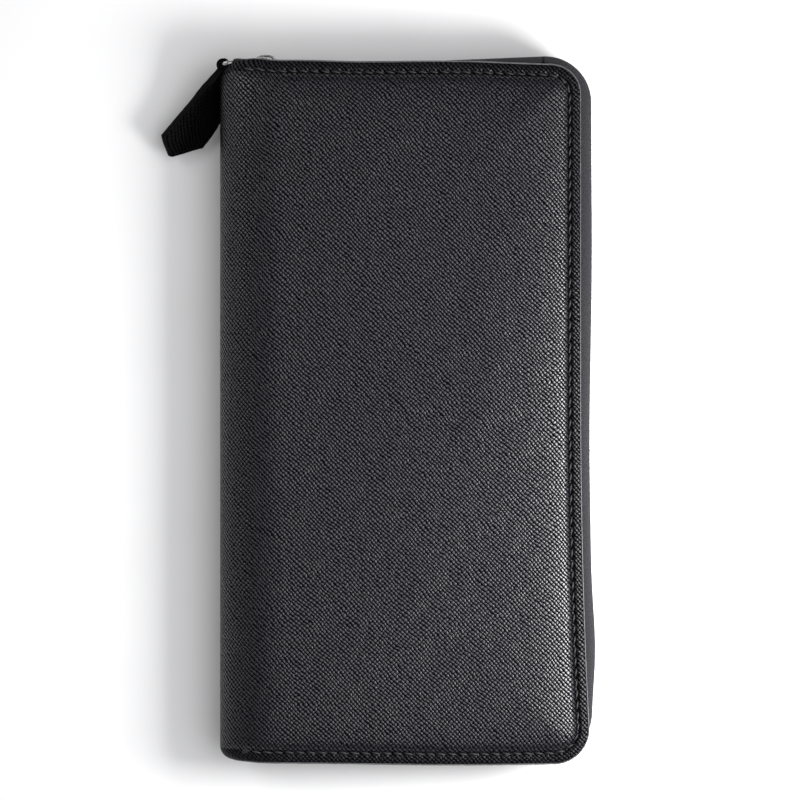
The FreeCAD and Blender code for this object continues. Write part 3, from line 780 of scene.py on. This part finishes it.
coin_slider = slider("coin_slider_body", COIN_SCALE, about_z(COIN_ZIP_X, 66, -90))
take_over(coin_slider, "coin_slider", "coin_zip_slider")
tab = rounded([(-3.4, -2.2), (-3.4, 2.2), (-11.6, 2.2), (-13, 1.1), (-13, -1.1), (-11.6, -2.2)], 0.5)
eye = [(x, 0, z) for x, z in rounded([(0, -1.75), (0, 1.75), (-3.8, 1.75), (-3.8, -1.75)], 0.5)]
tab_parts = [prism("tab", tab, -0.43, 0.43, "Y", 0.2), tube("eye", eye, np.full(len(eye), 0.42))]
coin_tab = joined("coin_tab", tab_parts, about_z(COIN_ZIP_X + BRIDGE * COIN_SCALE, 66, -90))
take_over(coin_tab, "coin_pull", "coin_zip_pull")


# ---------------------------------------------------------------- leather pull
LINK_WAY = math.radians(LINK_TURN)
BAR = (PIVOT[0] - LINK_LENGTH * math.cos(LINK_WAY), PIVOT[1] - LINK_LENGTH * math.sin(LINK_WAY))
STRAP = [
    # X, Y, Z, direction in plan, twist, width
    (-50.7, 95.0, 11.0, 242, 2, 4.8),
    (-51.6, 93.6, 10.9, 240, 5, 5.2),
    (-52.7, 91.6, 10.2, 236, 14, 7.6),
    (-53.0, 88.4, 7.6, 232, 36, 11.2),
    (-55.6, 83.2, 6.2, 230, 52, 12.0),
    (-59.0, 79.0, 5.0, 230, 58, 12.0),
    (-62.3, 75.0, 4.4, 230, 60, 12.0),
    (-65.6, 71.0, 3.9, 230, 60, 1.2),
]


def strap_frames(count):
    """Places, sideways and thickness directions, and widths, evenly along the pull."""
    cuts = np.array(STRAP, float)
    run = run_along(cuts[:, :3])
    body = np.linspace(0, run[-2], count)
    tip = run[-2] + (run[-1] - run[-2]) * np.array([0.12, 0.3, 0.5, 0.7, 0.85, 0.95, 1.0])
    places = np.r_[body, tip]
    values = sample(places, run, cuts)
    kernel = np.array([1, 3, 5, 3, 1]) / 13
    for _ in range(3):
        smoothed = np.stack([np.convolve(values[:, index], kernel, mode="same") for index in range(6)], 1)
        values[2:count - 3] = smoothed[2:count - 3]
    heading = np.radians(values[:, 3])
    twist = np.radians(values[:, 4])
    forward = np.stack([np.cos(heading), np.sin(heading), np.zeros(len(heading))], 1)
    sideways = np.stack([-forward[:, 1], forward[:, 0], np.zeros(len(heading))], 1)
    wide = sideways * np.sin(twist)[:, None] - np.array([0, 0, 1]) * np.cos(twist)[:, None]
    return values[:, :3], wide, np.cross(forward, wide), values[:, 5], places


def slanted_end(aside, wide, thick, run):
    """Shift along the strap that cuts its end at a slant."""
    share = np.clip((run - run[-1] + 15) / 11, 0, 1)
    return -0.45 * np.cross(wide, thick)[:, None] * (share[:, None] * aside)[..., None]


def leather_pull():
    places, wide, thick, widths, run = strap_frames(48)
    corner = np.radians(np.linspace(0, 90, 5))
    profiles = []
    for width in widths:
        half = width / 2
        deep = 1.0 * min(1, 0.55 + half / 4)
        curve = min(0.62, half * 0.8)
        quarter = [(half - curve + curve * math.cos(a), deep - curve + curve * math.sin(a)) for a in corner]
        inset = half - curve
        flat = [(inset - inset * share * 2, deep - 0.04 * math.sin(math.pi * share))
                for share in (0.08, 0.5, 0.92)]
        upper = quarter + flat + [(-x, y) for x, y in quarter[::-1]]
        profiles.append(upper + [(-x, -y) for x, y in upper])
    profiles = np.array(profiles)
    points, faces, _ = sweep(places, wide, thick, profiles)
    count = profiles.shape[1]
    uvs = np.stack([profiles[..., 0].ravel() + 7, np.repeat(-run, count)], 1)
    points = points + slanted_end(profiles[..., 0], wide, thick, run).reshape(-1, 3)
    obj = make("pull_strap", points, faces, PULL_LEATHER_SHADED, uvs)
    obj.data.materials.append(PULL_EDGE)
    for face in obj.data.polygons:
        ring = {vertex % count for vertex in face.vertices}
        beside = max(ring) <= 4 or min(ring) >= 8 and max(ring) <= 17 or min(ring) >= 21
        if len(face.vertices) == 4 and beside:
            face.material_index = 1
    return outward(obj), places, wide, thick, widths, run


def pull_loop():
    """The strap's end carried round the link's far bar."""
    turns = np.radians(np.linspace(-150, 150, 25)) + math.radians(62)
    path = middle_path(BAR[0] + 1.2 * np.cos(turns), BAR[1] + 1.2 * np.sin(turns))
    away = np.stack([np.cos(turns), np.sin(turns), np.zeros(25)], 1)
    profile = rounded([(-0.36, -2.4), (0.4, -2.4), (0.4, 2.4), (-0.36, 2.4)], 0.3)
    band = sweep(path, away, (0, 0, 1), profile)
    ring = np.radians(np.arange(0, 360, 15))
    levels = [(1.9, 1.5), (2.0, 1.8), (2.45, 1.8), (2.7, 1.5), (2.78, 0.5)]
    rings = [np.stack([BAR[0] - 0.3 + size * np.cos(ring), BAR[1] - 0.25 + size * np.sin(ring),
                       np.full(24, MID + level)], 1) for level, size in levels]
    faces = grid_faces(5, 24, closed=True) + [tuple(range(24))[::-1], tuple(range(96, 120))]
    cap = np.concatenate(rings)
    points, faces, uvs = join_parts([band, (cap, faces, cap[:, :2])])
    return outward(make("pull_loop", points, faces, PULL_LEATHER_SHADED, uvs))


def pull_stitches(places, wide, thick, widths, run):
    """Stitches round both faces of the strap, just inside its edges."""
    keep = [index for index in range(10, len(places)) if widths[index] > 4.4]
    outline = [(index, 1) for index in keep] + [(index, -1) for index in keep[::-1]]
    aside = np.stack([PULL_INSET - widths / 2, widths / 2 - PULL_INSET], 1)
    slant = slanted_end(aside, wide, thick, run)
    rows = []
    for face_side in (-1, 1):
        line = [places[i] + wide[i] * way * (widths[i] / 2 - PULL_INSET) + slant[i, (way + 1) // 2]
                + thick[i] * face_side * 0.95 for i, way in outline]
        rows += seam(line, [thick[i] * face_side for i, _ in outline])
    points, faces, uvs = join_parts(rows)
    return outward(make("pull_stitches", points, faces, PULL_EDGE, uvs))


strap, *strap_shape = leather_pull()
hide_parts("pull_leather")
for piece in (strap, pull_loop(), pull_stitches(*strap_shape)):
    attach(piece, "leather_pull")


# ---------------------------------------------------------------- inside
def lid(rows, columns, inset):
    """Row and column shares from 0 to 1, close together beside the edges."""
    near = np.array([0, 0.12, 0.3, 0.6, 1.0]) * inset
    shares = []
    for scale, half in (rows, columns):
        end = np.r_[scale * near, np.linspace(scale * inset, 0.5, half + 1)[1:]]
        shares.append(np.r_[end, 1 - end[-2::-1]])
    return shares


def panel(name, box, near, far, side, material, corners=(1.0, 3.0), relief=None, spacing=1.6):
    """A flat piece with rounded corners and edges, from near to far off the middle plane."""
    left, right, foot, top = box
    width, length = right - left, top - foot
    soft = min(0.45, (far - near) * 0.49)
    down, along = lid((1 / length, int(length / spacing / 2)), (1 / width, int(width / spacing / 2)), 2.4)
    y = foot + length * down[:, None]
    gap = np.minimum(y - foot, top - y)
    inner = [np.clip(radius - gap, 0, radius) for radius in corners]
    start = left + corners[0] - np.sqrt(corners[0] ** 2 - inner[0] ** 2)
    end = right - corners[1] + np.sqrt(corners[1] ** 2 - inner[1] ** 2)
    x = start + (end - start) * along[None, :]
    y = np.broadcast_to(y, x.shape)
    edge = np.minimum(np.minimum(x - start, end - x), gap)
    lift = np.clip(soft - edge, 0, soft)
    drop = soft - np.sqrt(soft ** 2 - lift ** 2)
    face = near + drop - (relief(x, y) * np.clip(edge / 0.5, 0, 1) if relief else 0)
    layers = [np.stack([x, y, MID + side * depth], -1).reshape(-1, 3) for depth in (face, far - drop)]
    rows, columns = x.shape
    faces = grid_faces(rows, columns) + grid_faces(rows, columns, start=rows * columns, flip=True)
    loop = [column for column in range(columns)] + [row * columns + columns - 1 for row in range(1, rows)]
    loop += [(rows - 1) * columns + column for column in range(columns - 2, -1, -1)]
    loop += [row * columns for row in range(rows - 2, 0, -1)]
    under = rows * columns
    faces += [(loop[i - 1], loop[i - 1] + under, loop[i] + under, loop[i]) for i in range(len(loop))]
    points = np.concatenate(layers)
    return outward(make(name, points, faces, material, points[:, :2]))


def flat_seam(start, end, depth, side):
    """Stitches straight across a piece, on the face turned to the middle plane."""
    line = [(x, y, MID + side * depth) for x, y in (start, end)]
    return seam(line, [(0, 0, -side)] * 2)


def sewn(name, parts, body):
    """All of a piece's thread as one object on a body."""
    points, faces, uvs = join_parts(parts)
    obj = outward(make(name, points, faces, THREAD, uvs))
    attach(obj, body)


def lining_cloth(label, side, cover):
    cloth = panel(label + "_lining_cloth", (-40.5, 44.9, -90.6, 88.4), 6.1, 6.7, side, LINING, (1.0, 7.0))
    take_over(cloth, label + "_lining", cover)


# Where the fold side of the pockets begins, and the mouths of the four of them.
MOUTHS = (-36.0, 5.0, 16.0, 27.0, 38.0)


def card_strip(label, side, cover, number):
    """A card pocket with a turned hem at its mouth, sewn down its middle and at both ends."""
    before, mouth = MOUTHS[number - 1:number + 1]
    near = 3.3 + 0.7 * (number - 1)

    def turned(x, y):
        shown = np.clip((x - before - 0.6) / 1.5, 0, 1)
        hem = 0.16 / (1 + np.exp((mouth - 2.9 - x) / 0.14)) - humps(x, (0.1, mouth - 2.1, 0.35))
        middle = -humps(y, (0.1, 0, 0.5)) * (x < mouth - 2.6)
        bow = 0.05 * np.cos(math.pi * y / 88) * np.clip((x - before) / 8, 0, 1)
        return shown * (hem + middle + bow)

    name = "%s_cards_%d" % (label, number)
    strip = panel(name, (-36, mouth, -88, 88), near, near + 0.7, side, INNER, (1.0, 1.6), turned)
    take_over(strip, "%s_card_strip_%d" % (label, number), cover)
    thread = flat_seam((mouth - 2.1, -86.5), (mouth - 2.1, 86.5), near + 0.02, side)
    for y in (0, -86.2, 86.2):
        thread += flat_seam((before + 1.2, y), (mouth - 3.2, y), near + 0.02, side)
    sewn(name + "_thread", thread, cover)


def coin_wall(label, side):
    wall = panel(label + "_coin_wall", (-38, 33, -87, 87), 1.5, 2.3, side, INNER, (2.0, 1.0))
    take_over(wall, "coin_wall_" + label, "divider")


def coin_tape(label, side):
    """One coin zip tape, from beside the coil to its two seams on the wall."""
    bend = [(38.4, 1.1), (38.42, 3.2), (38.1, 4.0), (37.4, 4.42), (36.4, 4.5), (33.6, 4.5), (32.7, 4.3),
            (30.4, 2.95), (29.4, 2.7), (26.0, 2.68), (26.0, 2.32), (29.5, 2.34), (30.7, 2.62), (32.9, 3.95),
            (33.7, 4.12), (36.4, 4.12), (37.3, 4.05), (37.85, 3.75), (38.02, 3.1), (38.0, 1.1)]
    run = np.arange(-80, 80.5, 1.0)
    wave = 0.08 * np.sin(run / 7.0 + side) + 0.05 * np.sin(run / 3.1)
    profiles = np.array([[(x, z + shift * np.clip((x - 30) / 4, 0, 1)) for x, z in bend] for shift in wave])
    tape = swept(label + "_coin_tape", TAPE, middle_path(0, run), (1, 0, 0), (0, 0, side), profiles)
    take_over(tape, "coin_zip_tape_" + label, "divider")
    thread = []
    for x, depth in ((27.2, 2.7), (28.9, 2.71)):
        thread += seam([(x, y, MID + side * depth) for y in (-79, 79)], [(0, 0, side)] * 2)
    sewn(label + "_coin_tape_thread", thread, "divider")


def coin_coil(label, side):
    line = middle_path(COIN_ZIP_X, np.arange(-80, 65.1, 1.0))
    coil = coil_row(label + "_coin_coil", line, (1, 0, 0), side, (0, 0.52), (0.5, 0.42), 0.2, 1.0)
    take_over(coil, "coin_zip_coil_" + label, "divider")


def gusset(label, side, cover, end, way):
    """A pleat between the divider and a cover's lining, deeper towards the free edge."""
    across = np.linspace(-34, 25.5, 41)
    pleats = []
    for x in across:
        share = (x + 34) / 59.5
        apex = 80 - 8 * share
        wave = 0.05 * math.sin(x / 4.3 + way)
        pleat = [(86.8, 2.42), (82.0, 2.45 + wave), (apex + 1.2, 2.56), (apex + 0.3, 2.6), (apex, 2.7),
                 (apex + 0.3, 2.8), (apex + 1.2, 2.84), (84.0, 2.92 + wave), (90.2, 3.02), (90.9, 3.12),
                 (91.15, 3.4), (91.2, 4.2), (91.2, 5.7)]
        pleats.append(thick_line(np.array(pleat), 0.1))
    cloth = swept("%s_%s_gusset" % (label, end), LINING, middle_path(across, 0), (0, way, 0), (0, 0, side),
                  np.array(pleats))
    take_over(cloth, "gusset_%s_%s" % (label, end))
    blend_to_divider(cloth, side, cover, *[(0, 0, (MID + side * depth) * MM) for depth in (3.0, 2.42)])


def foam(label):
    """The padding stays the CAD solid and only gets its material."""
    padding = bpy.data.objects[label + "_padding"]
    padding.data.materials.clear()
    padding.data.materials.append(FOAM)


def spine_lining():
    """Cloth round the inside of the fold."""
    turns = np.radians(np.linspace(90, 270, 33))
    arc = np.stack([-40.8 + 9.0 * np.cos(turns), 9.1 * np.sin(turns)], 1)
    rows = np.linspace(-86.8, 84.1, 90)
    shapes = np.array([thick_line(arc + (0.05 * math.sin(y / 9.0), 0), 0.6) for y in rows])
    cloth = swept("spine_cloth", LINING, middle_path(0, rows), (1, 0, 0), (0, 0, 1), shapes)
    take_over(cloth, "spine_lining", "divider")


def coin_pocket_edge():
    """The leather strip between the two walls, on the pocket's three closed sides."""
    corner = [(-33.5 + 3 * math.cos(a), 82.5 + 3 * math.sin(a)) for a in np.radians(np.arange(90, 181, 15))]
    path = [(33, 85.5)] + corner
    path = np.array(path + [(x, -y) for x, y in path[::-1]])
    run = run_along(path)
    spots = np.unique(np.r_[run, np.arange(0, run[-1], 2.0)])
    path = middle_path(*sample(spots, run, path).T)
    up = (0, 0, 1)
    section = rounded([(-1.5, -1.49), (1.5, -1.49), (1.5, 1.49), (-1.5, 1.49)], 0.5)
    strip = swept("coin_pocket_edge", INNER, path, np.cross(unit(np.gradient(path, axis=0)), up), up, section)
    take_over(strip, "coin_pocket_seam", "divider")


def end_stop():
    """The small ribbed stop at the foot end of the main zip."""
    spots = np.r_[-1.5, np.linspace(-1.35, 1.35, 11), 1.5]
    sizes = (1.1, 1.28, 1.12, 1.1, 1.12, 1.28, 1.3, 1.28, 1.12, 1.1, 1.12, 1.28, 1.1)
    section = rounded([(-1.5, -1), (1.5, -1), (1.5, 1), (-1.5, 1)], 0.4)
    profiles = np.array([[(y * 0.86, z * size) for y, z in section] for size in sizes])
    stop = swept("end_stop", TAPE, middle_path(-39 + spots, ZIP_FOOT), (0, 1, 0), (0, 0, 1), profiles)
    take_over(stop, "zip_end_stop", "back_cover")


for label, side, cover in COVERS:
    lining_cloth(label, side, cover)
    for number in (1, 2, 3, 4):
        card_strip(label, side, cover, number)
    coin_wall(label, side)
    coin_tape(label, side)
    coin_coil(label, side)
    for end, way in (("top", 1), ("foot", -1)):
        gusset(label, side, cover, end, way)
    foam(label)
spine_lining()
coin_pocket_edge()
end_stop()

# ---------------------------------------------------------------- floor, camera, light
floor = bpy.data.meshes.new("floor")
floor.from_pydata([(-3, -3, 0), (3, -3, 0), (3, 3, 0), (-3, 3, 0)], [], [(0, 1, 2, 3)])
floor_object = bpy.data.objects.new("floor", floor)
bpy.context.scene.collection.objects.link(floor_object)
floor_shader = Shader("floor_paper", rough=0.9, specular=0.1)
floor.materials.append(floor_shader.finish(floor_shader.ramp(
    floor_shader.noise(floor_shader.place(), 40), (0.2, (0.86, 0.86, 0.86)), (0.8, (0.88, 0.88, 0.88))), 0.9))

camera_data = bpy.data.cameras.new("camera")
camera = bpy.data.objects.new("camera", camera_data)
bpy.context.scene.collection.objects.link(camera)
bpy.context.scene.camera = camera
camera.location = (-0.0014, 0.0028, 1.265)
camera.rotation_euler = (0, 0, 0)
camera_data.lens = 203
camera_data.sensor_width = 36
camera_data.clip_end = 20

world = bpy.data.worlds.new("studio")
world.use_nodes = True
nodes = world.node_tree.nodes
links = world.node_tree.links
direction = nodes.new("ShaderNodeTexCoord")
facing = nodes.new("ShaderNodeVectorMath")
facing.operation = "DOT_PRODUCT"
facing.inputs[1].default_value = (0.45, -0.06, 0.89)
links.new(direction.outputs["Generated"], facing.inputs[0])
shade = nodes.new("ShaderNodeValToRGB")
for place, level in ((0.12, 0.4), (0.3, 0.1), (0.76, 0.12), (0.97, 2.2)):
    shade.color_ramp.elements.new(place).color = (level, level, 1.02 * level, 1)
shade.color_ramp.elements[0].color = (0.65, 0.65, 0.65, 1)
shade.color_ramp.elements[-1].color = (2.2, 2.2, 2.25, 1)
links.new(facing.outputs["Value"], shade.inputs["Fac"])
links.new(shade.outputs["Color"], nodes["Background"].inputs["Color"])
bpy.context.scene.world = world
bpy.context.scene.view_settings.view_transform = "Standard"


def lamp(name, place, target, width, height, power):
    light = bpy.data.lights.new(name, "AREA")
    light.shape = "RECTANGLE"
    light.size = width
    light.size_y = height
    light.energy = power
    obj = bpy.data.objects.new(name, light)
    bpy.context.scene.collection.objects.link(obj)
    obj.location = place
    obj.rotation_euler = (Vector(target) - Vector(place)).to_track_quat("-Z", "Y").to_euler()


lamp("key", (0.19, -0.04, 0.17), (0.03, -0.01, 0), 0.12, 0.12, 1.15)
lamp("fill", (-0.8, 0.5, 0.8), (0, 0, 0), 0.5, 0.5, 3)
